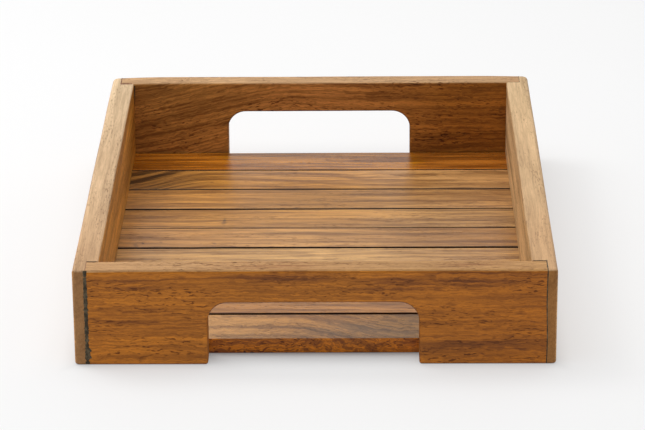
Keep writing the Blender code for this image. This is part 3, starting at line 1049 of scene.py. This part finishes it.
# sides paints the slats' long edges near black: painted shade in the gaps between them
COMMON_LOOK = {"ring_width": 0.0030, "rings": 0.20, "wave": 0.010, "streaks": 0.55,
               "streak_count": 210.0, "pores": 0.6, "gloss": 0.24, "shine": 0.45,
               "sides": (0.030, 0.012, 0.004)}
SLAT_LOOKS = {
    1: dict(colours=[(-0.08, (0.418, 0.210, 0.052)), (0.0, (0.345, 0.150, 0.018)),
                     (0.07, (0.205, 0.093, 0.006))],
            curl=0.0060, sweep=(-0.020, 0.060, (-0.032, 0.0)), shine=0.31, sides=(0.63, 0.190, 0.001),
            side_streaks=0.62, heart=[((0.020, SLAT[1][0].y + 0.016, FLOOR_TOP), (0.050, 0.02, 1.0), 0.6)],
            heart_colour=(0.13, 0.075, 0.030)),
    2: dict(colours=[(0.0, (0.356, 0.149, 0.022))], shine=0.34),
    3: dict(colours=[(0.0, (0.475, 0.238, 0.062))]),
    4: dict(colours=spread(0.1, (0.525, 0.282, 0.076), (0.61, 0.345, 0.104), (0.47, 0.250, 0.069))),
    5: dict(colours=spread(0.1, (0.458, 0.219, 0.048), (0.50, 0.250, 0.062), (0.36, 0.170, 0.037)),
            heart=[((-0.125, -0.0120, FLOOR_TOP), (0.0025, 0.0050, 1.0), 1.0),
                   ((-0.120, -0.0070, FLOOR_TOP), (0.0015, 0.0035, 1.0), 0.9),
                   ((-0.107, -0.0050, FLOOR_TOP), (0.0015, 0.0030, 1.0), 0.8),
                   ((-0.071, -0.0080, FLOOR_TOP), (0.0020, 0.0035, 1.0), 0.8)],
            heart_colour=(0.10, 0.045, 0.014)),
    6: dict(colours=spread(0.1, (0.525, 0.248, 0.042), (0.48, 0.232, 0.047), (0.425, 0.228, 0.070)),
            heart=[((-0.066, 0.0350, FLOOR_TOP), (0.0016, 0.0110, 1.0), 0.9),
                   ((-0.066, 0.0310, FLOOR_TOP), (0.0026, 0.0045, 1.0), 1.0)],
            heart_colour=(0.13, 0.060, 0.018)),
    7: dict(colours=spread(0.1, (0.54, 0.262, 0.064), (0.395, 0.188, 0.040), (0.50, 0.268, 0.092))),
    8: dict(colours=spread(0.1, (0.455, 0.212, 0.048), (0.50, 0.218, 0.016), (0.485, 0.265, 0.100)),
            rings=0.30, wave=0.014, sweep=(-0.150, -0.080, (0.030, 0.0)),
            heart=[((-0.125, SLAT[8][0].y + 0.018, FLOOR_TOP), (0.060, 0.05, 1.0), 0.95)],
            heart_colour=(0.11, 0.055, 0.016)),
    9: dict(colours=[(-0.076, (0.50, 0.176, 0.016)), (-0.060, (0.44, 0.172, 0.0085)),
                     (0.060, (0.44, 0.172, 0.0085)), (0.076, (0.395, 0.138, 0.018))],
            streaks=0.70, gloss=0.15, shine=0.245),
}
SLAT_WOOD = {}
for n, look in SLAT_LOOKS.items():
    middle = (SLAT[n][0].y + SLAT[n][1].y) / 2
    aside = 0.006 * ((n * 5) % 7 - 3)        # each slat is sawn from its own part of the log
    log = (0.37 * n, aside - middle, 0.055 + 0.004 * n)
    SLAT_WOOD[n] = wood_material(f"floor_slat_{n}_wood", 0, log, **{**COMMON_LOOK, **look})

DARK_GLUE = glue_material("dark_glue", (0.050, 0.040, 0.025), (0.150, 0.115, 0.068), 0.60)
BROWN_FILLER = glue_material("brown_filler", (0.27, 0.13, 0.080), (0.18, 0.085, 0.050), 0.60)
SCREW_STEEL = steel_material("zinc_plated_steel", (0.66, 0.65, 0.62), (0.45, 0.44, 0.42), 0.28)
NAIL_STEEL = steel_material("drawn_steel", (0.50, 0.49, 0.47), (0.30, 0.29, 0.28), 0.35)


# ------------------------------------------------------------------ floor, light and camera

FLOOR_REACH = 24.0
GLOW_DIM, GLOW_FULL = 0.10, 0.51             # painted light: glow of the floor under the tray, dimmed as a painted shadow, and round it
GLOW_START, GLOW_STOP = -0.026, 0.012        # where it grows, measured outwards from the tray


def build_stage():
    """A pale floor that glows like a light table, as painted light that keeps shadows faint, and glows
    less under the tray, as a painted shadow.
    """
    shape = bmesh.new()
    bmesh.ops.create_grid(shape, x_segments=1, y_segments=1, size=FLOOR_REACH)
    floor = shape_object("pale_floor", shape)
    material, g, shader = new_material("pale_floor")
    place = g.add("ShaderNodeTexCoord").outputs["Object"]
    cloud = g.noise(place, (3.0, 3.0, 3.0), 2.0)
    g.put(shader.inputs["Base Color"], g.mix(cloud, (0.39, 0.39, 0.39, 1.0), (0.41, 0.41, 0.41, 1.0)))
    shader.inputs["Roughness"].default_value = 0.9
    shader.inputs["Specular IOR Level"].default_value = 0.1
    shader.inputs["Emission Color"].default_value = (1.0, 1.0, 1.0, 1.0)
    x, y, z = g.separate(place)
    beside = g.minus(g.math("ABSOLUTE", x), OUTER_X)
    before = g.minus(g.math("ABSOLUTE", y), OUTER_Y)
    # Painted light: the floor glows, and glows less under the tray as a painted shadow
    glow = g.ramp(g.math("MAXIMUM", beside, before), GLOW_START, GLOW_STOP, GLOW_DIM, GLOW_FULL)
    g.put(shader.inputs["Emission Strength"], glow)
    floor.data.materials.append(material)


def add_softbox(name, place, size, energy):
    """A square lamp aimed at the tray, which the camera doesn't see."""
    lamp = bpy.data.lights.new(name, "AREA")
    lamp.shape = "SQUARE"
    lamp.size = size
    lamp.energy = energy
    softbox = bpy.data.objects.new(name, lamp)
    softbox.location = place
    softbox.rotation_euler = (-Vector(place)).to_track_quat("-Z", "Y").to_euler()
    softbox.visible_camera = False
    bpy.context.scene.collection.objects.link(softbox)


def build_light():
    """A large softbox overhead, a small one on the left, and a room with a white back wall."""
    add_softbox("overhead_softbox", (-0.35, 0.10, 2.2), 2.5, 37.0)
    add_softbox("left_softbox", (-1.10, 0.50, 1.40), 0.8, 9.0)
    world = bpy.data.worlds.new("studio")
    world.use_nodes = True
    g = Graph(world.node_tree)
    x, y, z = g.separate(g.add("ShaderNodeTexCoord").outputs["Generated"])
    wall = g.times(g.ramp(y, 0.2, 0.75), g.ramp(z, 0.55, 0.80, 1.0, 0.0))
    background = world.node_tree.nodes["Background"]
    background.inputs["Color"].default_value = (1.0, 1.0, 1.0, 1.0)
    g.put(background.inputs["Strength"], g.plus(g.times(wall, 0.75), 0.30))
    bpy.context.scene.world = world


def build_camera():
    """The camera looks down at the tray from the front, a little from its right."""
    target = Vector((0.00307, 0.0, 0.0280))
    turn, rise, roll = (math.radians(a) for a in (0.632, 21.116, -0.408))
    distance = 2.1964
    back = Vector((math.sin(turn) * math.cos(rise), -math.cos(turn) * math.cos(rise), math.sin(rise)))
    right = Vector((math.cos(turn), math.sin(turn), 0.0))
    up = back.cross(right)
    across = math.cos(roll) * right + math.sin(roll) * up
    upwards = math.cos(roll) * up - math.sin(roll) * right
    lens = bpy.data.cameras.new("camera")
    lens.lens = 178.76
    lens.sensor_width = 36.0
    camera = bpy.data.objects.new("camera", lens)
    axes = Matrix((across, upwards, back)).transposed().to_4x4()
    camera.matrix_world = Matrix.Translation(target + back * distance) @ axes
    bpy.context.scene.collection.objects.link(camera)
    bpy.context.scene.camera = camera


for end in ENDS:
    build_panel(end, PANEL_WOOD[end])
for side in SIDES:
    build_side_board(side, BOARD_WOOD[side])
build_slats(SLAT_WOOD)
build_fasteners(SCREW_STEEL, NAIL_STEEL)
build_glue(DARK_GLUE, BROWN_FILLER)
build_stage()
build_light()
build_camera()
bpy.context.scene.view_settings.view_transform = "Standard"
